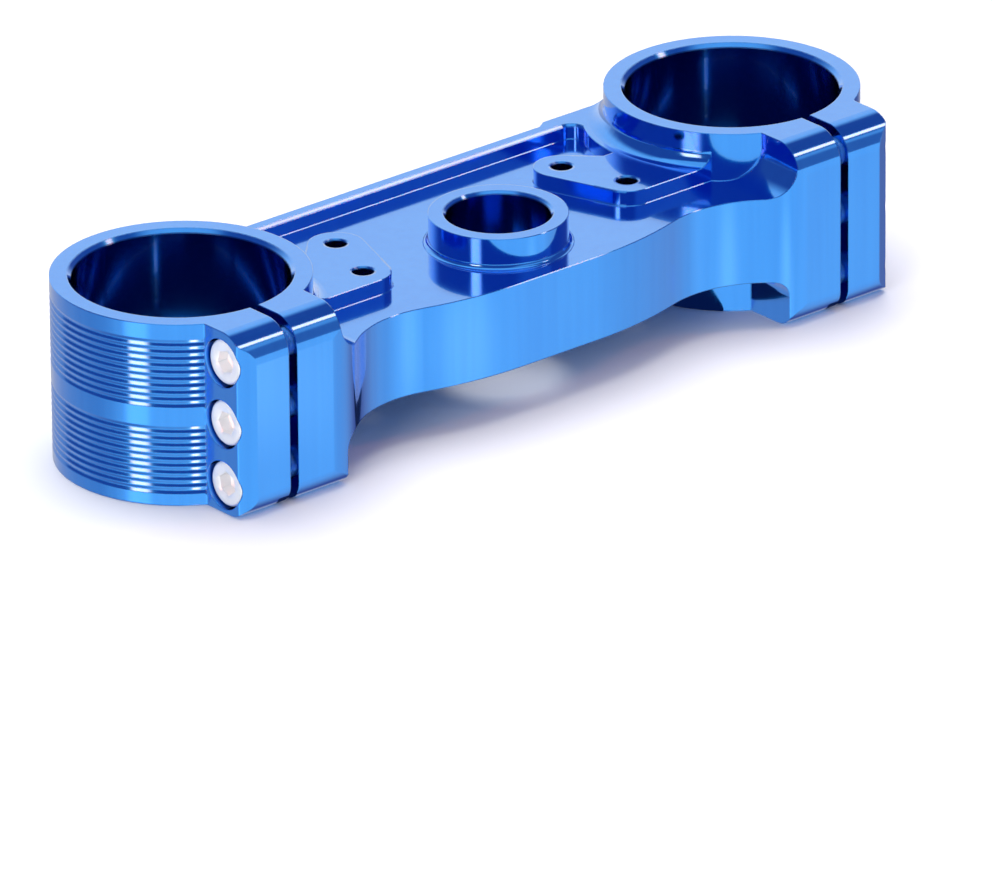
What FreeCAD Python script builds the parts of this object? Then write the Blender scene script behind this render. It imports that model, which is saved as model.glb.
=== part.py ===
import FreeCAD, Part
import math
import os
import Sketcher
from FreeCAD import Placement, Rotation, Vector

# Motorcycle triple clamp machined from one aluminium billet: two split fork clamps, a waved web
# between them with a floor, a rear rim, two fender pads and a stem boss, and six pinch bolts.
# X runs across the motorcycle, -Y is the side where the clamps are slit, +Z is up.

doc = FreeCAD.newDocument("TripleClamp")
sheet = doc.addObject("Spreadsheet::Sheet", "Dims")

# Driving dimensions in millimetres
SIZES = [
    ("fork_spacing", 200.0, "between the two fork bore axes"),
    ("bore_radius", 30.0, "fork bore"),
    ("bore_chamfer", 1.1, "chamfer at both mouths of a fork bore"),
    ("ring_wall", 6.0, "wall of a fork clamp ring"),
    ("clamp_height", 53.5, "height of the fork clamps"),
    ("ring_rise", 9.7, "fork clamp top above rim, pads and shoulders"),
    ("rim_step", 4.5, "rim above the milled floor"),
    ("web_thickness", 25.0, "milled floor above the underside of the web"),
    ("boss_rise", 8.9, "stem boss above the milled floor"),
    ("slit_width", 3.0, "slit of a fork clamp"),
    ("bolt_wall", 8.4, "bore wall to the axes of the pinch bolts"),
    ("bolt_cover", 9.0, "pinch bolt axes to the flat face of a pinch block"),
    ("cheek_wall", 7.2, "slit to the seat of the bolt heads"),
    ("head_recess", 1.1, "bolt heads behind the side of the pinch block"),
    ("tip_room", 2.2, "tapped hole beyond the tip of a bolt"),
    ("tap_wall", 6.1, "end of a tapped hole to the inner side of the pinch block"),
    ("scoop_step", 2.6, "inner side above the floor, set out from the inner side below"),
    ("bolt_foot", 8.1, "lowest pinch bolt above the base"),
    ("bolt_top", 9.4, "highest pinch bolt below the top"),
    ("seat_gap", 0.5, "between bolt head and counterbore"),
    ("pass_gap", 0.5, "between bolt and its passage to the slit"),
    ("thread_gap", 0.05, "between bolt and tapped hole, both drawn plain at the outside of the thread"),
    ("bevel_width", 4.8, "bevel on the outer corner of a pinch block, across"),
    ("bevel_depth", 2.4, "bevel on the outer corner of a pinch block, back"),
    ("corner_radius", 1.5, "small rounding of the bevelled corner"),
    ("top_round", 8.5, "rounding of the top front edge of a pinch block"),
    ("bottom_round", 6.0, "rounding of the bottom front edge of a pinch block"),
    ("scoop_radius", 9.5, "cove between floor and pinch block"),
    ("under_radius", 5.0, "cove between web underside and pinch block"),
    ("belly_reach", 42.2, "fork line to the middle of the front of the web"),
    ("belly_half", 13.6, "half width of the straight middle of the front"),
    ("belly_round", 110.0, "wave of the front: from the straight middle inwards"),
    ("waist_round", 31.3, "wave of the front: hollow of the waist"),
    ("cheek_round", 18.0, "wave of the front: out to the face of the pinch block"),
    ("cheek_inset", 14.0, "fork bore axis to the start of that face, across"),
    ("valley_radius", 1.2, "cove between ring wall and outer side of the pinch block"),
    ("rear_reach", 30.3, "fork line to the back of the rim"),
    ("rim_wall", 3.7, "wall of the rim"),
    ("rim_chamfer", 0.7, "chamfer on the inner edge of the rim"),
    ("ear_rise", 1.9, "ears beside the rings behind the back of the rim"),
    ("ear_length", 42.0, "fork bore axis to the start of an ear"),
    ("ear_step", 3.0, "length of the slope up to an ear"),
    ("shoulder_cove", 4.3, "cove between ring wall and shoulder"),
    ("shoulder_land", 1.7, "flat part of the shoulder outside the cove"),
    ("floor_corner", 3.5, "corner of the floor between rim and shoulder"),
    ("front_hole_inset", 52.1, "fork bore axis to the front fender hole, across"),
    ("front_hole_y", 15.0, "front fender hole from the fork line"),
    ("rear_hole_inset", 59.0, "fork bore axis to the rear fender hole, across"),
    ("rear_hole_y", 4.7, "rear fender hole from the fork line"),
    ("fender_hole", 3.2, "radius of a fender hole"),
    ("pad_wall", 4.7, "pad around a fender hole"),
    ("bay_length", 3.4, "bay between pad and shoulder"),
    ("bay_y", 2.5, "tip of that bay from the fork line"),
    ("stem_offset", 16.1, "stem axis in front of the fork line"),
    ("stem_radius", 14.5, "stem bore"),
    ("stem_chamfer", 0.8, "chamfer of the stem bore"),
    ("boss_wall", 5.0, "wall of the stem boss"),
    ("notch_depth", 0.4, "depth of a grip groove"),
    ("notch_flank", 1.0, "half the width of a grip groove at the surface"),
    ("notch_count", 10.0, "grooves in a band"),
    ("notch_arc", 121.0, "degrees covered by the grip grooves"),
    ("band_top", 5.5, "topmost groove below the top"),
    ("band_gap", 7.6, "between the two bands of grooves"),
    ("band_foot", 4.4, "lowest groove above the base"),
    ("bolt_radius", 4.0, "thread of a pinch bolt"),
    ("bolt_length", 20.0, "under the head of a pinch bolt"),
    ("head_radius", 6.5, "head of a pinch bolt"),
    ("head_height", 8.0, "height of the head"),
    ("socket_flats", 6.0, "across the flats of the hexagon socket"),
    ("socket_depth", 4.0, "depth of the hexagon socket"),
    ("relief_depth", 12.0, "depth of the relief pockets under the web"),
    ("relief_round", 2.5, "upright corners of the relief pockets"),
    ("relief_near", 8.0, "fork line to the rear relief pocket"),
    ("relief_gap", 4.0, "fork clamp ring to the rear relief pocket"),
    ("relief_wall", 6.0, "wall between relief pocket and outside"),
]

# Sizes that follow from the driving ones
LINKED = {
    "ring_radius": "bore_radius + ring_wall",
    "rim_height": "clamp_height - ring_rise",
    "floor_height": "rim_height - rim_step",
    "web_underside": "floor_height - web_thickness",
    "boss_height": "floor_height + boss_rise",
    "bolt_line": "bore_radius + bolt_wall",
    "face_reach": "bolt_line + bolt_cover",
    "bolt_pitch": "clamp_height/2 - bolt_foot/2 - bolt_top/2",
    "bolt_seat": "slit_width/2 + cheek_wall",
    "block_outer": "bolt_seat + head_height + head_recess",
    "tap_depth": "bolt_length - bolt_seat + tip_room",
    "block_inner": "tap_depth + tap_wall",
    "block_scoop": "block_inner - scoop_step",
    "rim_reach": "rear_reach - rim_wall",
    "ear_reach": "rear_reach + ear_rise",
    "ear_start": "fork_spacing/2 - ear_length",
    "shoulder_radius": "ring_radius + shoulder_cove + shoulder_land",
    "front_hole_x": "fork_spacing/2 - front_hole_inset",
    "rear_hole_x": "fork_spacing/2 - rear_hole_inset",
    "pad_radius": "fender_hole + pad_wall",
    "pad_line": "front_hole_y + pad_radius",
    "bay_x": "fork_spacing/2 - shoulder_radius - bay_length",
    "boss_radius": "stem_radius + boss_wall",
    "seat_radius": "head_radius + seat_gap",
    "pass_radius": "bolt_radius + pass_gap",
    "tap_radius": "bolt_radius + thread_gap",
    "band_length": "clamp_height/2 - band_top/2 - band_gap/2 - band_foot/2",
    "relief_far": "fork_spacing/2 - ring_radius - relief_gap",
}
for row, (alias, value, note) in enumerate(SIZES, start=1):
    sheet.set("A%d" % row, alias)
    sheet.set("B%d" % row, "%g" % value)
    sheet.set("C%d" % row, note)
    sheet.setAlias("B%d" % row, alias)
doc.recompute()


def terms(rule):
    """Signed parts of a size rule such as 'fork_spacing/2 - block_inner', linked sizes written out."""
    out = []
    sign = 1.0
    for word in rule.split():
        if word in "+-":
            sign = 1.0 if word == "+" else -1.0
            continue
        name, _, part = word.partition("/")
        inner = terms(LINKED[name]) if name in LINKED else [(1.0, name, 1.0)]
        out += [(sign * s, n, float(part or 1) * p) for s, n, p in inner]
        sign = 1.0
    return out


def size(rule):
    """Value of a size rule in millimetres, read from the sheet."""
    total = 0.0
    for sign, name, part in terms(rule):
        base = float(name) if name[0].isdigit() else sheet.get(name)
        total += sign * base / part
    return total


def bound(rule):
    """The same rule as an expression on the sheet."""
    text = "0"
    for sign, name, part in terms(rule):
        base = name if name[0].isdigit() else "Dims." + name
        text += " %s %s / %g" % ("+" if sign > 0 else "-", base, part)
    return text


def drive(item, prop, rule):
    item.setExpression(prop, bound(rule))


def plane_of(body, role):
    return [f for f in body.Origin.OriginFeatures if f.Role == role][0]


def new_body(name):
    body = doc.addObject("PartDesign::Body", name)
    body.Label = name
    return body


def new_sketch(body, name, role, raised="0"):
    """Sketch on an origin plane of the body, moved along the plane's normal by a size rule."""
    sketch = body.newObject("Sketcher::SketchObject", name)
    sketch.AttachmentSupport = [(plane_of(body, role), "")]
    sketch.MapMode = "FlatFace"
    drive(sketch, "AttachmentOffset.Base.z", raised)
    return sketch


def tie(sketch, geo, pos, x, y):
    """Hold a sketch point at size rules for x and y; a rule that starts with ~ is only a first guess."""
    for kind, rule in (("DistanceX", x), ("DistanceY", y)):
        if not rule.startswith("~"):
            i = sketch.addConstraint(Sketcher.Constraint(kind, -1, 1, geo, pos, size(rule)))
            sketch.setExpression("Constraints[%d]" % i, bound(rule))


def outline(sketch, corners, arcs={}, tangents=()):
    """Closed outline through corners given by size rules.

    arcs maps the number of a corner to (centre x, centre y, radius rule or None, turn) for the
    side that leaves it; turn is 1 anticlockwise and -1 clockwise. tangents lists corners where
    the two sides run smoothly into each other.
    """
    n = len(corners)
    spot = [Vector(size(x.strip("~")), size(y.strip("~")), 0) for x, y in corners]
    first = sketch.GeometryCount
    ends = []
    for i in range(n):
        a = spot[i]
        b = spot[(i + 1) % n]
        if i in arcs:
            cx, cy, radius, turn = arcs[i]
            c = Vector(size(cx.strip("~")), size(cy.strip("~")), 0)
            p, q = (a, b) if turn > 0 else (b, a)
            circle = Part.Circle(c, Vector(0, 0, 1), (p - c).Length)
            angles = [math.atan2((v - c).y, (v - c).x) for v in (p, q)]
            sketch.addGeometry(Part.ArcOfCircle(circle, angles[0], angles[1]), False)
            ends.append((1, 2) if turn > 0 else (2, 1))
        else:
            sketch.addGeometry(Part.LineSegment(a, b), False)
            ends.append((1, 2))
    for i in range(n):
        j = (i + 1) % n
        kind = "Tangent" if j in tangents else "Coincident"
        sketch.addConstraint(Sketcher.Constraint(kind, first + i, ends[i][1], first + j, ends[j][0]))
    for i, (cx, cy, radius, turn) in arcs.items():
        tie(sketch, first + i, 3, cx, cy)
        if radius:
            k = sketch.addConstraint(Sketcher.Constraint("Radius", first + i, size(radius)))
            sketch.setExpression("Constraints[%d]" % k, bound(radius))
    for i, (x, y) in enumerate(corners):
        tie(sketch, first + i, ends[i][0], x, y)


def circle(sketch, x, y, radius):
    geo = sketch.GeometryCount
    spot = Vector(size(x), size(y), 0)
    sketch.addGeometry(Part.Circle(spot, Vector(0, 0, 1), size(radius)), False)
    tie(sketch, geo, 3, x, y)
    k = sketch.addConstraint(Sketcher.Constraint("Radius", geo, size(radius)))
    sketch.setExpression("Constraints[%d]" % k, bound(radius))


def check(body, feature, sign, before):
    """Stop at once when a feature failed or worked the wrong way."""
    doc.recompute()
    if feature.Shape.isNull() or "Invalid" in feature.State or "Error" in feature.State:
        raise RuntimeError("%s failed" % feature.Name)
    if sign * (feature.Shape.Volume - before) <= 0:
        raise RuntimeError("%s changed nothing" % feature.Name)
    body.Tip = feature


def volume(body):
    return body.Shape.Volume if body.Tip and not body.Shape.isNull() else 0.0


def pad(body, name, sketch, length):
    before = volume(body)
    feature = body.newObject("PartDesign::Pad", name)
    feature.Profile = sketch
    drive(feature, "Length", length)
    check(body, feature, 1, before)
    return feature


def pocket(body, name, sketch, length=None, along=False, both=False):
    """Cut a sketch into the body; along cuts on the side of the sketch's normal."""
    before = volume(body)
    feature = body.newObject("PartDesign::Pocket", name)
    feature.Profile = sketch
    if length:
        drive(feature, "Length", length)
    else:
        feature.Type = "ThroughAll"
    if both:
        feature.SideType = "Symmetric"
    feature.Reversed = along
    check(body, feature, -1, before)
    return feature


def dress(body, kind, name, edges, rule, sign):
    """Fillet or chamfer the listed edges of the tip."""
    before = volume(body)
    base = body.Tip
    if not edges:
        raise RuntimeError("%s found no edge" % name)
    feature = body.newObject("PartDesign::" + kind, name)
    feature.Base = (base, ["Edge%d" % i for i in edges])
    drive(feature, "Radius" if kind == "Fillet" else "Size", rule)
    check(body, feature, sign, before)
    return feature


def near(value, rule):
    return abs(value - size(rule)) < 0.02


def edges_of(body, test):
    """Numbers of the tip's edges whose bounding box and shape pass a test."""
    return [i for i, e in enumerate(body.Tip.Shape.Edges, start=1) if test(e, e.BoundBox)]


def upright(edge, box):
    return box.XLength < 0.02 and box.YLength < 0.02


def flat_at(box, rule):
    return box.ZLength < 0.02 and near(box.ZMin, rule)


def round_edge(edge, rule):
    return isinstance(edge.Curve, Part.Circle) and near(edge.Curve.Radius, rule)


# The clamp is drawn for the side of positive X and mirrored whole, bolts and all holes included
clamp = new_body("clamp_body")
XY = "XY_Plane"
XZ = "XZ_Plane"
YZ = "YZ_Plane"

# Billet outline: straight rear with an ear beside the ring, bevelled pinch block, waved front
sketch = new_sketch(clamp, "BilletSketch", XY)
outline(sketch, [
    ("0", "rear_reach"),
    ("0", "- belly_reach"),
    ("belly_half", "- belly_reach"),
    ("~belly_half + belly_round/3.45", "~belly_round/24 - belly_reach"),
    ("~fork_spacing/2 - cheek_inset - cheek_round/1.6", "~cheek_round/4.4 - face_reach"),
    ("fork_spacing/2 - cheek_inset", "- face_reach"),
    ("fork_spacing/2 + block_outer - bevel_width", "- face_reach"),
    ("fork_spacing/2 + block_outer", "- face_reach + bevel_depth"),
    ("fork_spacing/2 + block_outer", "- ring_radius/2"),
    ("fork_spacing/2", "ear_reach"),
    ("ear_start", "ear_reach"),
    ("ear_start - ear_step", "rear_reach"),
], arcs={
    2: ("belly_half", "~belly_round - belly_reach", "belly_round", 1),
    3: ("~fork_spacing/2 - cheek_inset - waist_round",
        "~ - belly_reach - waist_round/1.24", "waist_round", -1),
    4: ("fork_spacing/2 - cheek_inset", "~cheek_round - face_reach", "cheek_round", 1),
}, tangents=(3, 4))
pad(clamp, "Billet", sketch, "clamp_height")
edges = edges_of(clamp, lambda e, b: upright(e, b) and near(b.YMin, "- face_reach + bevel_depth")
                 and near(b.XMin, "fork_spacing/2 + block_outer"))
dress(clamp, "Fillet", "CornerRound", edges, "corner_radius", -1)

# Front half of the top is milled down to the floor, with a cove at the pinch block
sketch = new_sketch(clamp, "FrontFloorSketch", XZ, "pad_line")
outline(sketch, [
    ("- 5", "floor_height"),
    ("fork_spacing/2 - block_scoop - scoop_radius", "floor_height"),
    ("fork_spacing/2 - block_scoop", "floor_height + scoop_radius"),
    ("fork_spacing/2 - block_scoop", "clamp_height + 5"),
    ("- 5", "clamp_height + 5"),
], arcs={1: ("fork_spacing/2 - block_scoop - scoop_radius", "~floor_height + scoop_radius", None, 1)})
pocket(clamp, "FrontFloor", sketch, along=True)

# The rest of the top is milled down to the level of rim, pads and shoulders
sketch = new_sketch(clamp, "RimLevelSketch", XY, "rim_height")
outline(sketch, [
    ("- 5", "- pad_line"),
    ("fork_spacing/2 + ring_radius", "- pad_line"),
    ("fork_spacing/2 + ring_radius", "ear_reach + 5"),
    ("- 5", "ear_reach + 5"),
])
pocket(clamp, "RimLevel", sketch, along=True)

# Floor behind the front line, up to the rim, with a round corner and a bright chamfer on the rim
sketch = new_sketch(clamp, "FloorSketch", XY, "floor_height")
outline(sketch, [
    ("- 5", "- pad_line - 2"),
    ("fork_spacing/2 - ring_radius", "- pad_line - 2"),
    ("fork_spacing/2 - ring_radius", "rim_reach"),
    ("- 5", "rim_reach"),
])
pocket(clamp, "Floor", sketch, along=True)
edges = edges_of(clamp, lambda e, b: upright(e, b) and near(b.YMax, "rim_reach")
                 and near(b.XMin, "fork_spacing/2 - ring_radius"))
dress(clamp, "Fillet", "FloorCorner", edges, "floor_corner", 1)
edges = edges_of(clamp, lambda e, b: flat_at(b, "rim_height") and b.XMin < 1 and near(b.YMin, "rim_reach"))
dress(clamp, "Chamfer", "RimChamfer", edges, "rim_chamfer", -1)

# Underside of the web: a trough between the pinch blocks and a flat step behind them
sketch = new_sketch(clamp, "UndersideSketch", XZ)
outline(sketch, [
    ("- 5", "- 5"),
    ("fork_spacing/2 - block_inner", "- 5"),
    ("fork_spacing/2 - block_inner", "web_underside - under_radius"),
    ("fork_spacing/2 - block_inner - under_radius", "web_underside"),
    ("- 5", "web_underside"),
], arcs={2: ("fork_spacing/2 - block_inner - under_radius", "~web_underside - under_radius", None, 1)})
pocket(clamp, "Underside", sketch, both=True)
sketch = new_sketch(clamp, "RearUndersideSketch", XY)
outline(sketch, [
    ("- 5", "- ring_radius/4"),
    ("fork_spacing/2 + ring_radius", "- ring_radius/4"),
    ("fork_spacing/2 + ring_radius", "ear_reach + 5"),
    ("- 5", "ear_reach + 5"),
])
pocket(clamp, "RearUnderside", sketch, "web_underside", along=True)

# Shoulder around the ring and the fender pad, both up to the level of the rim
sketch = new_sketch(clamp, "ShoulderSketch", XY, "floor_height")
outline(sketch, [
    ("~fork_spacing/2 - shoulder_radius", "rim_reach"),
    ("~fork_spacing/2 - shoulder_radius", "- pad_line"),
    ("fork_spacing/2", "- pad_line"),
    ("fork_spacing/2", "rim_reach"),
], arcs={0: ("fork_spacing/2", "0", "shoulder_radius", 1)})
pad(clamp, "Shoulder", sketch, "rim_height - floor_height")
sketch = new_sketch(clamp, "FenderPadSketch", XY, "floor_height")
outline(sketch, [
    ("~rear_hole_x + pad_radius/1.4", "~rear_hole_y + pad_radius/1.4"),
    ("~rear_hole_x - pad_radius", "~rear_hole_y"),
    ("~front_hole_x - pad_radius", "~ - front_hole_y"),
    ("front_hole_x", "- pad_line"),
    ("fork_spacing/2 - ring_radius/1.5", "- pad_line"),
    ("fork_spacing/2 - ring_radius/1.5", "bay_y"),
    ("bay_x", "bay_y"),
], arcs={
    0: ("rear_hole_x", "rear_hole_y", "pad_radius", 1),
    2: ("front_hole_x", "- front_hole_y", None, 1),
}, tangents=(0, 1, 2))
pad(clamp, "FenderPad", sketch, "rim_height - floor_height")

# Fork clamp ring over the full height
sketch = new_sketch(clamp, "RingSketch", XY)
circle(sketch, "fork_spacing/2", "0", "ring_radius")
pad(clamp, "Ring", sketch, "clamp_height")

# Coves and roundings that run into the milled faces
edges = edges_of(clamp, lambda e, b: upright(e, b) and near(b.XMin, "fork_spacing/2 + block_outer")
                 and - size("ring_radius") < b.YMin < - size("ring_radius/2"))
dress(clamp, "Fillet", "ValleyCove", edges, "valley_radius", 1)
edges = edges_of(clamp, lambda e, b: flat_at(b, "rim_height") and round_edge(e, "ring_radius"))
dress(clamp, "Fillet", "ShoulderCove", edges, "shoulder_cove", 1)

# Front edges of the pinch block, top and bottom
sketch = new_sketch(clamp, "TopRoundSketch", YZ)
outline(sketch, [
    ("- face_reach + top_round", "clamp_height"),
    ("- face_reach", "clamp_height - top_round"),
    ("- face_reach - 5", "clamp_height - top_round"),
    ("- face_reach - 5", "clamp_height + 5"),
    ("- face_reach + top_round", "clamp_height + 5"),
], arcs={0: ("- face_reach + top_round", "~clamp_height - top_round", None, 1)})
pocket(clamp, "TopRound", sketch, both=True)
sketch = new_sketch(clamp, "BottomRoundSketch", YZ)
outline(sketch, [
    ("- face_reach", "bottom_round"),
    ("- face_reach + bottom_round", "0"),
    ("- face_reach + bottom_round", "- 5"),
    ("- face_reach - 5", "- 5"),
    ("- face_reach - 5", "bottom_round"),
], arcs={0: ("- face_reach + bottom_round", "~bottom_round", None, 1)})
pocket(clamp, "BottomRound", sketch, both=True)

# Fork bore, its mouths and the slit
sketch = new_sketch(clamp, "BoreSketch", XY)
circle(sketch, "fork_spacing/2", "0", "bore_radius")
pocket(clamp, "Bore", sketch, along=True)
edges = edges_of(clamp, lambda e, b: round_edge(e, "bore_radius"))
dress(clamp, "Chamfer", "BoreMouths", edges, "bore_chamfer", -1)
sketch = new_sketch(clamp, "SlitSketch", XY)
outline(sketch, [
    ("fork_spacing/2 - slit_width/2", "- face_reach - 5"),
    ("fork_spacing/2 + slit_width/2", "- face_reach - 5"),
    ("fork_spacing/2 + slit_width/2", "- bore_radius/2"),
    ("fork_spacing/2 - slit_width/2", "- bore_radius/2"),
])
pocket(clamp, "Slit", sketch, along=True)

# Three pinch bolts: counterbore from the outer side, passage to the slit, thread beyond it
heights = ["bolt_foot", "bolt_foot + bolt_pitch", "bolt_foot + bolt_pitch + bolt_pitch"]
for name, start, radius, length, outward in (
    ("BoltSeats", "fork_spacing/2 + bolt_seat", "seat_radius", None, True),
    ("BoltPassages", "fork_spacing/2", "pass_radius", "bolt_seat + 1", True),
    ("BoltThreads", "fork_spacing/2", "tap_radius", "tap_depth", False),
):
    sketch = new_sketch(clamp, name + "Sketch", YZ, start)
    for height in heights:
        circle(sketch, "- bolt_line", height, radius)
    pocket(clamp, name, sketch, length, along=outward)

# Fender holes through both pads
sketch = new_sketch(clamp, "FenderHoleSketch", XY)
circle(sketch, "front_hole_x", "- front_hole_y", "fender_hole")
circle(sketch, "rear_hole_x", "rear_hole_y", "fender_hole")
pocket(clamp, "FenderHoles", sketch, along=True)

# Grip grooves round the outer side of the ring, in two bands
sketch = new_sketch(clamp, "GripSketch", XZ)
for band in ("clamp_height - band_top", "band_foot + band_length"):
    outline(sketch, [
        ("fork_spacing/2 + ring_radius - notch_depth", band),
        ("fork_spacing/2 + ring_radius + notch_depth", band + " - notch_flank - notch_flank"),
        ("fork_spacing/2 + ring_radius + notch_depth", band + " + notch_flank + notch_flank"),
    ])
axis = sketch.GeometryCount
foot = Vector(size("fork_spacing/2"), 0, 0)
sketch.addGeometry(Part.LineSegment(foot, foot + Vector(0, size("clamp_height"), 0)), True)
tie(sketch, axis, 1, "fork_spacing/2", "0")
tie(sketch, axis, 2, "fork_spacing/2", "clamp_height")
before = volume(clamp)
groove = clamp.newObject("PartDesign::Groove", "GripGroove")
groove.Profile = sketch
groove.ReferenceAxis = (sketch, ["Axis0"])
groove.Midplane = True
groove.setExpression("Angle", "Dims.notch_arc")
check(clamp, groove, -1, before)
before = volume(clamp)
pattern = clamp.newObject("PartDesign::LinearPattern", "GripPattern")
pattern.Originals = [groove]
pattern.Direction = (plane_of(clamp, "Z_Axis"), [""])
pattern.Reversed = True
drive(pattern, "Length", "band_length")
pattern.setExpression("Occurrences", "Dims.notch_count")
check(clamp, pattern, -1, before)

# Relief pocket under the web, behind the stem
corners = [
    ("relief_wall", "relief_near"),
    ("stem_radius", "relief_near"),
    ("relief_far", "stem_radius"),
    ("relief_far", "rear_reach - relief_wall"),
    ("relief_wall", "rear_reach - relief_wall"),
]
sketch = new_sketch(clamp, "ReliefSketch", XY, "web_underside")
outline(sketch, corners)
pocket(clamp, "Relief", sketch, "relief_depth", along=True)
edges = edges_of(clamp, lambda e, b: upright(e, b)
                 and any(near(b.XMin, x) and near(b.YMin, y) for x, y in corners))
dress(clamp, "Fillet", "ReliefCorners", edges, "relief_round", 1)

# The other half
before = volume(clamp)
mirror = clamp.newObject("PartDesign::Mirrored", "OtherHalf")
mirror.TransformMode = "Whole shape"
mirror.MirrorPlane = (plane_of(clamp, YZ), [""])
check(clamp, mirror, 1, before)

# Stem boss and stem bore in the middle
sketch = new_sketch(clamp, "BossSketch", XY, "web_underside + relief_wall")
circle(sketch, "0", "- stem_offset", "boss_radius")
pad(clamp, "Boss", sketch, "boss_height - web_underside - relief_wall")
sketch = new_sketch(clamp, "StemBoreSketch", XY)
circle(sketch, "0", "- stem_offset", "stem_radius")
pocket(clamp, "StemBore", sketch, along=True)
edges = edges_of(clamp, lambda e, b: round_edge(e, "stem_radius") and flat_at(b, "boss_height"))
dress(clamp, "Chamfer", "StemMouth", edges, "stem_chamfer", -1)

# The object stands with the middle of its depth on the frame origin
middle = "face_reach/2 - ring_radius/2"
drive(clamp, "Placement.Base.y", middle)

# Pinch bolts: hexagon socket head, head against its seat, shank through the slit into the thread
bolts = []
for side, turn in (("right", 1), ("left", -1)):
    for level, height in zip(("low", "middle", "high"), heights):
        bolt = new_body("pinch_bolt_%s_%s" % (side, level))
        bolts.append(bolt)
        sketch = new_sketch(bolt, "ProfileSketch", XZ)
        outline(sketch, [
            ("0", "head_height"),
            ("head_radius", "head_height"),
            ("head_radius", "0"),
            ("bolt_radius", "0"),
            ("bolt_radius", "- bolt_length"),
            ("0", "- bolt_length"),
        ])
        before = volume(bolt)
        turned = bolt.newObject("PartDesign::Revolution", "Turned")
        turned.Profile = sketch
        turned.ReferenceAxis = (plane_of(bolt, "Z_Axis"), [""])
        turned.Angle = 360
        check(bolt, turned, 1, before)
        sketch = new_sketch(bolt, "SocketSketch", XY, "head_height")
        outline(sketch, [
            ("socket_flats/2", "socket_flats/3.4641016"),
            ("0", "socket_flats/1.7320508"),
            ("- socket_flats/2", "socket_flats/3.4641016"),
            ("- socket_flats/2", "- socket_flats/3.4641016"),
            ("0", "- socket_flats/1.7320508"),
            ("socket_flats/2", "- socket_flats/3.4641016"),
        ])
        pocket(bolt, "Socket", sketch, "socket_depth")
        bolt.Placement = Placement(Vector(0, 0, 0), Rotation(Vector(0, 1, 0), 90 * turn))
        bolt.setExpression("Placement.Base.x", "%d * (%s)" % (turn, bound("fork_spacing/2 + bolt_seat")))
        drive(bolt, "Placement.Base.y", middle + " - bolt_line")
        drive(bolt, "Placement.Base.z", height)

# Checks and export
doc.recompute()
for item in doc.Objects:
    if "Invalid" in item.State or "Error" in item.State:
        raise RuntimeError("%s is in error" % item.Name)
os.makedirs("parts", exist_ok=True)
for part in [clamp] + bolts:
    if part.Shape.isNull() or not part.Shape.isValid() or len(part.Shape.Solids) != 1:
        raise RuntimeError("%s has no sound solid" % part.Label)
    part.Shape.exportStep("parts/%s.step" % part.Label)
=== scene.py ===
import math

import bpy
import numpy as np
from mathutils import Matrix, Vector


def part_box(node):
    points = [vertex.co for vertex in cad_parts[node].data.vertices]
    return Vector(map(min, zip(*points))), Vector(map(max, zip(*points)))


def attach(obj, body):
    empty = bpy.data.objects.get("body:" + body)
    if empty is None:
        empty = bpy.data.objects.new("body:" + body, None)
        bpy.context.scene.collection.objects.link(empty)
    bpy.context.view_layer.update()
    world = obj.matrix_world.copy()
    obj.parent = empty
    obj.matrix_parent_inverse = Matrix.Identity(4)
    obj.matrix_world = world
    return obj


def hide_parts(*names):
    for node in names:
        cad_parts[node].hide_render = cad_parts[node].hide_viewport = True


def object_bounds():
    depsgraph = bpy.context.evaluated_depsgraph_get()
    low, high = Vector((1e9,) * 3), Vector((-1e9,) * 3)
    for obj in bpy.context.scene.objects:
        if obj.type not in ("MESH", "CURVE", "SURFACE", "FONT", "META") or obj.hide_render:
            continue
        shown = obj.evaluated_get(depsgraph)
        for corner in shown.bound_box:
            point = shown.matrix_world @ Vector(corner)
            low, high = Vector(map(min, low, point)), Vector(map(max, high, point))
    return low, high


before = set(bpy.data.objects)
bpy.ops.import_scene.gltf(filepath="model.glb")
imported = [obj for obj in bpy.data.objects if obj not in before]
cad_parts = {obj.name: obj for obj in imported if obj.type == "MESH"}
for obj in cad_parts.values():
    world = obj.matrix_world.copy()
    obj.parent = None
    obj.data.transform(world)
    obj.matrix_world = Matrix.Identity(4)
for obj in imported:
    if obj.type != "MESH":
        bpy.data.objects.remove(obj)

cad_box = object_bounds()

# Camera: the photograph's long view from the front left, worked out from the fork bores and corners.
# It looks at the clamp from 40.5 degrees left of the front and 23.9 degrees above, from 4.3 m away.
scene = bpy.context.scene
scene.view_settings.view_transform = "Standard"
turn = math.radians(-40.48)
rise = math.radians(23.87)
roll = math.radians(-0.49)
distance = 4.32298
photo_width = 992
focal_pixels = 15667.65
sensor_width = 36
fork_y = 0.0057
ring_top = Vector((0, fork_y, cad_box[1][2]))
aim_right = 0.0099
aim_down = 0.07419
back = Vector((math.sin(turn) * math.cos(rise), -math.cos(turn) * math.cos(rise), math.sin(rise)))
level = Vector((math.cos(turn), math.sin(turn), 0))
upright = back.cross(level)
right = level * math.cos(roll) + upright * math.sin(roll)
up = upright * math.cos(roll) - level * math.sin(roll)
eye = back * distance + right * aim_right - up * aim_down + ring_top
lens = bpy.data.cameras.new("view")
lens.sensor_width = sensor_width
lens.lens = focal_pixels * sensor_width / photo_width
lens.clip_start = 0.1
lens.clip_end = 50
camera = bpy.data.objects.new("view", lens)
scene.collection.objects.link(camera)
camera.matrix_world = Matrix((
    (right.x, up.x, back.x, eye.x),
    (right.y, up.y, back.y, eye.y),
    (right.z, up.z, back.z, eye.z),
    (0, 0, 0, 1),
))
scene.camera = camera

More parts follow.
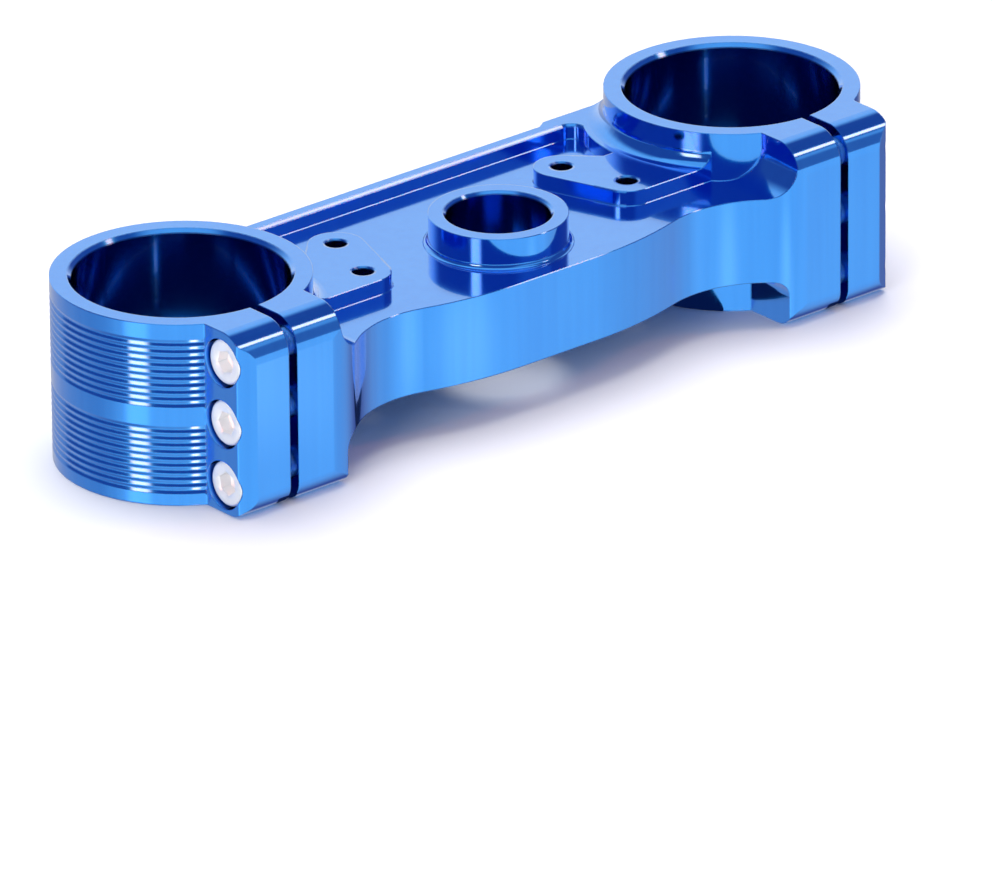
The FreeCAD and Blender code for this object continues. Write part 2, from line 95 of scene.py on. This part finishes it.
# Studio round the clamp, as the polished metal mirrors it: a dark blue room with pale cards behind, in
# front and overhead, a pale ground shaded at two sides, and two small warm lights. The camera itself
# sees plain white.
room_dark = (0.05, 0.09, 0.28, 1)
white = (1, 1, 1, 1)
warm_light = (11.0, 3.0, 1.5)
window_direction = (0.594, -0.440, 0.672)


def wire(kind, inputs=None, **settings):
    """Node in the tree that is being made, its inputs filled with numbers or other nodes' outputs."""
    node = tree.nodes.new(kind)
    for key, value in settings.items():
        setattr(node, key, value)
    for key, value in (inputs or {}).items():
        if isinstance(value, bpy.types.NodeSocket):
            tree.links.new(value, node.inputs[key])
        else:
            node.inputs[key].default_value = value
    return node


def ramp(value, low, high, at_low=0.0, at_high=1.0):
    """Smooth step 3 t^2 - 2 t^3 from at_low to at_high, where t runs from 0 at low to 1 at high."""
    ends = {0: value, 1: low, 2: high, 3: at_low, 4: at_high}
    return wire("ShaderNodeMapRange", ends, interpolation_type="SMOOTHSTEP").outputs[0]


def calc(kind, first, *others):
    """Numbers joined one after another by a sum such as ADD, or one number changed by ABSOLUTE."""
    for other in others or (0.0,):
        first = wire("ShaderNodeMath", {0: first, 1: other}, operation=kind).outputs[0]
    return first


def vector(kind, first, other=(0, 0, 0)):
    """Vector sum, which gives a number for DOT_PRODUCT and DISTANCE and a vector otherwise."""
    node = wire("ShaderNodeVectorMath", {0: first, 1: other}, operation=kind)
    return node.outputs["Value" if kind in ("DOT_PRODUCT", "DISTANCE") else "Vector"]


def colour(amount, first, other, **settings):
    """Colour that goes from the first to the other as the amount goes from 0 to 1."""
    return wire("ShaderNodeMix", {0: amount, 6: first, 7: other}, data_type="RGBA", **settings).outputs[2]


def cone(direction, inner, outer):
    """Round light: a ramp of the cosine of the angle from its direction, between two angles in degrees."""
    cosine = vector("DOT_PRODUCT", toward, Vector(direction).normalized())
    return ramp(cosine, math.cos(math.radians(outer)), math.cos(math.radians(inner)))


def upright_band(azimuth, half, soft, strength):
    """Upright band: a ramp of the cosine of the azimuth's difference from its own, from +X towards +Y.

    It has its full strength out to half degrees each way, and none past half + soft degrees.
    """
    middle = (math.cos(math.radians(azimuth)), math.sin(math.radians(azimuth)), 0)
    cosine = vector("DOT_PRODUCT", compass, middle)
    inner = math.cos(math.radians(half))
    outer = math.cos(math.radians(half + soft))
    return calc("MULTIPLY", ramp(cosine, outer, inner), strength)


world = bpy.data.worlds.new("studio")
scene.world = world
world.use_nodes = True
tree = world.node_tree
tree.nodes.clear()
toward = wire("ShaderNodeTexCoord").outputs["Generated"]
across, depth, height = wire("ShaderNodeSeparateXYZ", {0: toward}).outputs
compass = vector("NORMALIZE", wire("ShaderNodeCombineXYZ", {0: across, 1: depth}).outputs[0])
above = ramp(height, -0.03, 0.0)
below = calc("SUBTRACT", 1.0, above)

# The cards above the horizon, by how bright each one is in a direction
back_card = calc("MULTIPLY", ramp(depth, 0.22, 0.50, 0.0, 0.88), ramp(across, -0.45, 0.05))
front_card = calc("MULTIPLY", ramp(depth, -0.50, -0.57, 0.0, 0.62), ramp(across, -0.3, 0.1),
                  ramp(height, 0.42, 0.52, 0.25, 1.0))
overhead_card = ramp(height, 0.83, 0.90, 0.06, 0.85)
upper = calc("MULTIPLY", calc("ADD", back_card, front_card, overhead_card), above)

# The ground, dimmer straight down, on the right and behind
right_shade = upright_band(azimuth=352, half=20, soft=35, strength=0.45)
back_shade = upright_band(azimuth=85, half=60, soft=60, strength=0.72)
ground = calc("SUBTRACT", 1.18, calc("ADD", right_shade, back_shade))
lower = calc("MULTIPLY", ground, ramp(height, -0.85, -0.65, 0.55, 1.0), below)
room = colour(calc("ADD", upper, lower), room_dark, white)

# The window and a strip at the foot of the left wall are warm, and a card low on the left is neutral
window = cone(window_direction, inner=3.0, outer=5.5)
foot_strip = calc("MULTIPLY", upright_band(azimuth=247, half=2, soft=5, strength=1.0),
                  ramp(height, -0.80, -0.90))
left_card = calc("MULTIPLY", upright_band(azimuth=190, half=5, soft=9, strength=0.5), below,
                 ramp(height, -0.62, -0.50))
warm = calc("ADD", foot_strip, window)
channels = {channel: calc("ADD", calc("MULTIPLY", warm, power), left_card)
            for channel, power in enumerate(warm_light)}
lights = wire("ShaderNodeCombineColor", channels).outputs[0]
mirrored_room = colour(1.0, room, lights, blend_type="ADD")
camera_ray = wire("ShaderNodeLightPath").outputs["Is Camera Ray"]
surround = wire("ShaderNodeBackground", {"Color": colour(camera_ray, mirrored_room, white)})
wire("ShaderNodeOutputWorld", {"Surface": surround.outputs[0]})

# Floor: a wide pale matt table top just under the clamp. It carries the clamp's soft shadow and isn't
# part of the object.
floor_reach = 6.0
floor_level = -0.0002
floor_colour = (0.93, 0.93, 0.94, 1)
floor_roughness = 0.9


def level_square(reach, level):
    """Corners of a level square about the middle, at plus and minus its reach."""
    return [(x * reach, y * reach, level) for x, y in ((-1, -1), (1, -1), (1, 1), (-1, 1))]


def stage_piece(name, outlines):
    """Flat piece of the studio with one face for each closed outline, and a material of its own."""
    mesh = bpy.data.meshes.new(name)
    ends = np.cumsum([len(outline) for outline in outlines]).tolist()
    faces = [tuple(range(end - len(outline), end)) for outline, end in zip(outlines, ends)]
    mesh.from_pydata([point for outline in outlines for point in outline], [], faces)
    material = bpy.data.materials.new(name)
    material.use_nodes = True
    mesh.materials.append(material)
    piece = bpy.data.objects.new(name, mesh)
    scene.collection.objects.link(piece)
    return piece, material.node_tree


floor, tree = stage_piece("floor", [level_square(floor_reach, floor_level)])
floor.visible_glossy = False
shader = tree.nodes["Principled BSDF"]
shader.inputs["Base Color"].default_value = floor_colour
shader.inputs["Roughness"].default_value = floor_roughness

# Shine on the table in front of the clamp: a soft warm round of light, seen in the polished metal only.
# The clamp stood this much higher above its table when it was photographed.
table_level = -0.107
table_reach = 2.0
shine_middle = (0.075, -0.325, table_level)
shine_radius = (0.085, 0.010)
shine_strength = 0.6
shine_colour = (1.0, 0.60, 0.35, 1)


def mirrored_only(piece):
    """Keeps a piece of the studio to reflections: no camera, matt surface or shadow has it."""
    piece.visible_camera = False
    piece.visible_diffuse = False
    piece.visible_shadow = False
    piece.data.materials[0].node_tree.nodes.clear()


def clear_glow(light_colour, strength):
    """Light of a colour added to whatever lies behind the piece."""
    lit = wire("ShaderNodeEmission", {"Color": light_colour, "Strength": strength})
    clear = wire("ShaderNodeBsdfTransparent", {"Color": white})
    both = wire("ShaderNodeAddShader", {0: lit.outputs[0], 1: clear.outputs[0]})
    wire("ShaderNodeOutputMaterial", {"Surface": both.outputs[0]})


table, tree = stage_piece("table_shine", [level_square(table_reach, table_level)])
mirrored_only(table)
spot = wire("ShaderNodeTexCoord").outputs["Object"]
clear_glow(shine_colour, ramp(vector("DISTANCE", spot, shine_middle), *shine_radius, 0.0, shine_strength))

# Shade under the clamp, seen in the polished metal only: a dark ground below the bores, the slots and the
# web, where the clamp itself keeps the light out.
fork_x = 0.1
shade_level = -0.0001
shade_colour = (0.012, 0.02, 0.06, 1)
shade_spots = (
    ((-fork_x, fork_y), (0.0285, 0.0285), 2),
    ((fork_x, fork_y), (0.0285, 0.0285), 2),
    ((0, fork_y), (0.078, 0.032), 6),
    ((-fork_x, -0.030), (0.0035, 0.011), 8),
    ((fork_x, -0.030), (0.0035, 0.011), 8),
)


def shade_outline(middle, reach, squareness, steps=64):
    """Outline where |x / a|^n + |y / b|^n = 1 about its middle: an ellipse at n = 2, nearly a box at 8.

    Each coordinate of a point on the unit circle is raised to 2 / n, with its sign kept.
    """
    angle = np.arange(steps) * 2 * np.pi / steps
    round_point = np.stack([np.cos(angle), np.sin(angle)], axis=-1)
    point = middle + reach * np.sign(round_point) * np.abs(round_point) ** (2 / squareness)
    return [(x, y, shade_level) for x, y in point.tolist()]


card, tree = stage_piece("shade_card", [shade_outline(*shade_spot) for shade_spot in shade_spots])
mirrored_only(card)
dim = wire("ShaderNodeEmission", {"Color": shade_colour, "Strength": 1.0})
wire("ShaderNodeOutputMaterial", {"Surface": dim.outputs[0]})

# Strip light far out on the left, seen in reflections only: it makes the broad flames of light on the
# grip grooves. Each edge is given where the light ends and where it has its full strength.
strip_x = -3.0
strip_right = (-0.10, -0.36)
strip_left = (-1.30, -0.85)
strip_foot = (0.30, 0.77)
strip_head = (2.25, 1.51)
strip_corners = [(strip_x, strip_left[0], strip_foot[0]), (strip_x, strip_right[0], strip_foot[0]),
                 (strip_x, strip_right[0], strip_head[0]), (strip_x, strip_left[0], strip_head[0])]
strip, tree = stage_piece("strip_light", [strip_corners])
mirrored_only(strip)
spot = wire("ShaderNodeTexCoord").outputs["Object"]
_, strip_y, strip_z = wire("ShaderNodeSeparateXYZ", {0: spot}).outputs
strip_width = calc("MULTIPLY", ramp(strip_y, *strip_right), ramp(strip_y, *strip_left))
strip_height = calc("MULTIPLY", ramp(strip_z, *strip_foot), ramp(strip_z, *strip_head))
clear_glow((*warm_light, 1), calc("MULTIPLY", strip_width, strip_height))

# Lights: one large soft light high above and a smaller one at the left, both turned to the clamp. The
# metal mirrors the studio instead of them.
for name, size, power, where in (("overhead", 3.0, 80, (0.3, 0.6, 3.0)), ("side", 1.6, 45, (-2.6, -0.9, 0.9))):
    lamp = bpy.data.lights.new(name, "AREA")
    lamp.shape = "DISK"
    lamp.size = size
    lamp.energy = power
    light = bpy.data.objects.new(name, lamp)
    scene.collection.objects.link(light)
    light.location = where
    light.rotation_euler = Vector(where).to_track_quat("Z", "Y").to_euler()
    light.visible_glossy = False

# Clamp body: machined from one aluminium billet, polished, and anodised blue, so a dyed clear film lies
# over bright metal. Cutters left faint upright lines on its walls and rings on its turned faces, and
# every sharp edge is broken.
film_deep = (0.014, 0.300, 0.945, 1)
film_light = (0.022, 0.335, 0.99, 1)
# Painted shade: a darker blue for the walls inside the fork and stem bores.
bore_shade_colour = (0.009, 0.20, 0.68, 1)
stem_y = -0.0104
fork_bore = 0.0300
stem_bore = 0.0145
bore_skin = 0.0001
front_hole = (0.0479, 0.0093, 0)
rear_hole = (0.0410, 0.0104, 0)
around_hole = 0.0050
edge_break = 0.0005
hole_break = 0.0007
anodised = bpy.data.materials.new("blue_anodised")
anodised.use_nodes = True
tree = anodised.node_tree
shader = tree.nodes["Principled BSDF"]
shader.inputs["Metallic"].default_value = 1.0
shader.inputs["Coat Weight"].default_value = 1.0
shader.inputs["Coat Roughness"].default_value = 0.03
shader.inputs["Coat IOR"].default_value = 1.6
spot = wire("ShaderNodeTexCoord").outputs["Object"]
spot_x, spot_y, spot_z = wire("ShaderNodeSeparateXYZ", {0: spot}).outputs
side = calc("ABSOLUTE", spot_x)
plan = vector("MULTIPLY", spot, (1, 1, 0))
half_plan = wire("ShaderNodeCombineXYZ", {0: side, 1: spot_y}).outputs[0]
from_fork = vector("DISTANCE", half_plan, (fork_x, fork_y, 0))
from_stem = vector("DISTANCE", plan, (0, stem_y, 0))

# The film is dyed a little unevenly, and the bores are given a darker blue as painted shade. Noise drawn out
# upright gives the streaks of the cutter, and noise by the distance from a fork bore gives the turned rings.
streaks = wire("ShaderNodeTexNoise", {"Vector": vector("MULTIPLY", spot, (1, 1, 0.03)),
                                      "Scale": 420.0, "Detail": 4.0}).outputs[0]
clouds = wire("ShaderNodeTexNoise", {"Vector": spot, "Scale": 28.0, "Detail": 3.0}).outputs[0]
dye = colour(ramp(calc("ADD", streaks, clouds), 0.60, 1.40), film_deep, film_light)
# Painted shade: within the fork and stem bores the dye gives way to the darker blue.
bore_shade_mask = calc("MAXIMUM", calc("LESS_THAN", from_fork, fork_bore + bore_skin),
               calc("LESS_THAN", from_stem, stem_bore + bore_skin))
tree.links.new(colour(bore_shade_mask, dye, bore_shade_colour), shader.inputs["Base Color"])
tree.links.new(ramp(clouds, 0.3, 0.7, 0.10, 0.16), shader.inputs["Roughness"])
rings = wire("ShaderNodeTexNoise", {"W": from_fork, "Scale": 2600.0, "Detail": 2.0},
             noise_dimensions="1D").outputs[0]
machined = wire("ShaderNodeBump", {"Height": calc("ADD", rings, streaks), "Strength": 0.04,
                                   "Distance": 0.00002}).outputs[0]

# A broken edge leans 45 degrees from its face, and is wider round the fender holes. The grip grooves
# are rounded instead, and the joints of the wedge in the middle of the rear rim are left out.
folded = vector("ABSOLUTE", plan)
from_front, from_rear = (vector("DISTANCE", folded, hole) for hole in (front_hole, rear_hole))
near_hole = calc("LESS_THAN", calc("MINIMUM", from_front, from_rear), around_hole)
break_width = calc("ADD", calc("MULTIPLY", near_hole, hole_break), edge_break)
face_normal = wire("ShaderNodeNewGeometry").outputs["Normal"]
rounded = wire("ShaderNodeBevel", {"Radius": break_width}, samples=6).outputs[0]
alike = vector("DOT_PRODUCT", rounded, face_normal)
lean = vector("NORMALIZE", vector("SUBTRACT", rounded, vector("MULTIPLY", face_normal, alike)))
lean_across = wire("ShaderNodeSeparateXYZ", {0: lean}).outputs[0]
grip = calc("MULTIPLY", ramp(from_fork, 0.0350, 0.0352), ramp(side, 0.108, 0.110),
            calc("LESS_THAN", spot_z, 0.0505))
seam = calc("MULTIPLY", calc("LESS_THAN", side, 0.0025), calc("GREATER_THAN", spot_y, 0.030),
            calc("GREATER_THAN", calc("ABSOLUTE", lean_across), 0.6))
broken = calc("MULTIPLY", ramp(alike, 0.990, 0.965), calc("SUBTRACT", 1.0, calc("MAXIMUM", grip, seam)))
normal = machined
for amount, other in ((broken, vector("ADD", face_normal, lean)), (grip, rounded)):
    normal = wire("ShaderNodeMix", {0: amount, 4: normal, 5: other}, data_type="VECTOR").outputs[1]
normal = vector("NORMALIZE", normal)
tree.links.new(normal, shader.inputs["Normal"])
tree.links.new(normal, shader.inputs["Coat Normal"])
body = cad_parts["clamp_body"]
body.data.materials.clear()
body.data.materials.append(anodised)

# Middle of the rear rim: the billet's rim runs straight through here, level and with its inner edge
# broken. This wedge closes the small notch between the two mirrored halves of the solid.
rim_inner = 0.0323
rim_outer = 0.0360
rim_level = 0.0438
rim_chamfer = 0.0007


def rim_wedge():
    """Triangle carried along Y, a chamfer deep and two chamfers wide.

    Its inner end leans with the rim's own chamfer: y = inner edge + height above the lower corner.
    """
    side_to_side = np.array([-rim_chamfer, rim_chamfer, 0])
    upwards = np.array([rim_chamfer, rim_chamfer, 0])
    level = rim_level - rim_chamfer + upwards
    inner_end = np.stack([side_to_side, rim_inner + upwards, level], axis=-1)
    outer_end = np.stack([side_to_side, np.full(3, rim_outer), level], axis=-1)
    sides = [(k, (k + 1) % 3, (k + 1) % 3 + 3, k + 3) for k in range(3)]
    return np.concatenate([inner_end, outer_end]).tolist(), sides + [(0, 2, 1), (3, 4, 5)]


points, faces = rim_wedge()
wedge = bpy.data.meshes.new("rim_middle")
wedge.from_pydata(points, [], faces)
wedge.materials.append(anodised)
rim_middle = bpy.data.objects.new("rim_middle", wedge)
scene.collection.objects.link(rim_middle)
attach(rim_middle, "root")

# Foot of the stem boss: the ball end of the cutter leaves a small hollow cove all round, where the
# boss wall runs out into the floor of the web. It is the same billet and the same blue film.
boss_radius = 0.01955
web_floor = 0.03933
cove_radius = 0.0014
cove_buried = 0.0002
cove_steps = 12
cove_columns = 144


def band_faces(row, next_row, columns):
    """Quads between each ring of points and the next, which face outwards where the rings climb."""
    column = np.arange(columns)
    beyond = (column + 1) % columns
    first = row[:, None] * columns
    ahead = next_row[:, None] * columns
    quads = np.stack([first + column, first + beyond, ahead + beyond, ahead + column], axis=-1)
    return quads.reshape(-1, 4)


def foot_cove():
    """Ring round the boss: a quarter circle, hollow side out, carried along a full turn.

    Points are centre + r * (cos turn, sin turn) with r = boss + cove * (1 - cos bend) and
    z = floor + cove * (1 - sin bend), and a buried corner closes the profile inside the metal.
    """
    bend = np.linspace(0, np.pi / 2, cove_steps)
    radius = np.concatenate([[boss_radius - cove_buried], boss_radius + cove_radius * (1 - np.cos(bend)),
                             [boss_radius + cove_radius, boss_radius - cove_buried]])
    level = np.concatenate([[web_floor + cove_radius], web_floor + cove_radius * (1 - np.sin(bend)),
                            [web_floor - cove_buried, web_floor - cove_buried]])
    turn = np.arange(cove_columns) * 2 * np.pi / cove_columns
    points = np.stack([radius[:, None] * np.cos(turn), stem_y + radius[:, None] * np.sin(turn),
                       np.broadcast_to(level[:, None], (len(level), cove_columns))], axis=-1)
    row = np.arange(len(level))
    faces = band_faces((row + 1) % len(level), row, cove_columns)
    return points.reshape(-1, 3).tolist(), faces.tolist()


points, faces = foot_cove()
cove_mesh = bpy.data.meshes.new("boss_foot")
cove_mesh.from_pydata(points, [], faces)
cove_mesh.shade_smooth()
cove_mesh.set_sharp_from_angle(angle=math.radians(40))
cove_mesh.materials.append(anodised)
boss_foot = bpy.data.objects.new("boss_foot", cove_mesh)
scene.collection.objects.link(boss_foot)
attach(boss_foot, "root")

# Pinch bolts: six M8 socket head screws of zinc plated steel, with a rolled thread and a broached
# hexagon. Each head sits in its counterbore, and its shank pulls the split block together.
head_height = 0.008
head_radius = 0.0065
head_round = 0.0009
thread_radius = 0.004
thread_pitch = 0.00125
thread_depth = 0.0007
bolt_length = 0.020
point_inset = 0.0012
plain_shank = 0.0008
small_edge = 0.0003
mouth_radius = 0.0038
mouth_depth = 0.0004
socket_half = 0.003
socket_floor = 0.004
socket_corner = 0.0002
drill_point = 0.0004
drill_tip = 0.0006
screw_columns = 72
rows_a_turn = 6
zinc_dull = (0.93, 0.95, 0.93, 1)
zinc_bright = (0.965, 0.985, 0.97, 1)


def screw_surface():
    """Rows of a socket screw from its tip to the bottom of its socket, as radius and height over turn.

    Radius and height are functions of the place along the profile and the turn about the axis. On the
    shank the radius is a triangle wave of (height / pitch - turn / 2 pi), which makes the helix. In the
    socket it is half the flats over the cosine of the angle from the middle of the nearest flat.
    """
    turn = np.arange(screw_columns) * 2 * np.pi / screw_columns
    hexagon = socket_half / np.cos((turn + np.pi / 6) % (np.pi / 3) - np.pi / 6)
    turns = int((bolt_length - 3 * thread_pitch) / thread_pitch)
    climb = thread_pitch - bolt_length + np.arange(turns * rows_a_turn + 1) * thread_pitch / rows_a_turn
    wave = np.abs((climb[:, None] / thread_pitch - turn / (2 * np.pi)) % 1 - 0.5) * 2
    fade = np.minimum(1, np.minimum(climb - climb[0], climb[-1] - climb) / thread_pitch)[:, None]
    thread = thread_radius - thread_depth * (1 - fade + fade * wave)
    bottom = head_height - socket_floor
    rows = [(thread_radius - point_inset, -bolt_length)]
    rows += zip(thread, climb)
    rows += [(thread_radius, climb[-1] + plain_shank), (thread_radius, -small_edge)]
    rows += [(thread_radius + small_edge, 0), (head_radius - small_edge, 0), (head_radius, small_edge)]
    rows += [(head_radius - head_round * (1 - np.cos(bend)), head_height - head_round * (1 - np.sin(bend)))
             for bend in np.linspace(0, np.pi / 2, 6)]
    rows += [(mouth_radius, head_height), (hexagon, head_height - mouth_depth)]
    rows += [(hexagon, bottom + socket_corner), (hexagon * 0.93, bottom)]
    rows += [(hexagon * 0.4, bottom - drill_point)]
    plain = np.ones(screw_columns)
    return turn, np.array([plain * radius for radius, _ in rows]), np.array([plain * z for _, z in rows])


def closed_faces(rows, columns):
    """Quads between the rings of a turned piece and a fan to a pole at each end, all facing outwards."""
    row = np.arange(rows - 1)
    column = np.arange(columns)
    beyond = (column + 1) % columns
    last = (rows - 1) * columns
    first_fan = np.stack([np.full(columns, rows * columns), beyond, column], axis=-1)
    last_fan = np.stack([np.full(columns, rows * columns + 1), last + column, last + beyond], axis=-1)
    return band_faces(row, row + 1, columns).tolist() + first_fan.tolist() + last_fan.tolist()


plated = bpy.data.materials.new("zinc_plated_steel")
plated.use_nodes = True
tree = plated.node_tree
shader = tree.nodes["Principled BSDF"]
shader.inputs["Metallic"].default_value = 0.40
spot = wire("ShaderNodeTexCoord").outputs["Object"]
bloom = wire("ShaderNodeTexNoise", {"Vector": spot, "Scale": 260.0, "Detail": 1.0}).outputs[0]
tree.links.new(colour(ramp(bloom, 0.35, 0.65), zinc_dull, zinc_bright), shader.inputs["Base Color"])
tree.links.new(ramp(bloom, 0.3, 0.7, 0.28, 0.38), shader.inputs["Roughness"])

turn, radius, climb = screw_surface()
for number, name in enumerate(sorted(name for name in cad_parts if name.startswith("pinch_bolt"))):
    low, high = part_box(name)
    outwards = 1 if low[0] > 0 else -1
    seat = outwards * (max(abs(low[0]), abs(high[0])) - head_height)
    middle_y = (low[1] + high[1]) / 2
    middle_z = (low[2] + high[2]) / 2
    tightened = math.radians(17 + 23 * number)
    wide = radius * np.cos(turn + tightened)
    tall = radius * np.sin(turn + tightened)
    if outwards < 0:
        wide, tall = tall, wide
    points = np.stack([seat + outwards * climb, middle_y + wide, middle_z + tall], axis=-1).reshape(-1, 3)
    poles = [(seat - outwards * bolt_length, middle_y, middle_z),
             (seat + outwards * (head_height - socket_floor - drill_tip), middle_y, middle_z)]
    mesh = bpy.data.meshes.new(name + "_screw")
    mesh.from_pydata(points.tolist() + poles, [], closed_faces(len(radius), screw_columns))
    mesh.shade_smooth()
    mesh.set_sharp_from_angle(angle=math.radians(32))
    mesh.materials.append(plated)
    screw = bpy.data.objects.new(name + "_screw", mesh)
    scene.collection.objects.link(screw)
    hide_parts(name)
    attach(screw, "root")
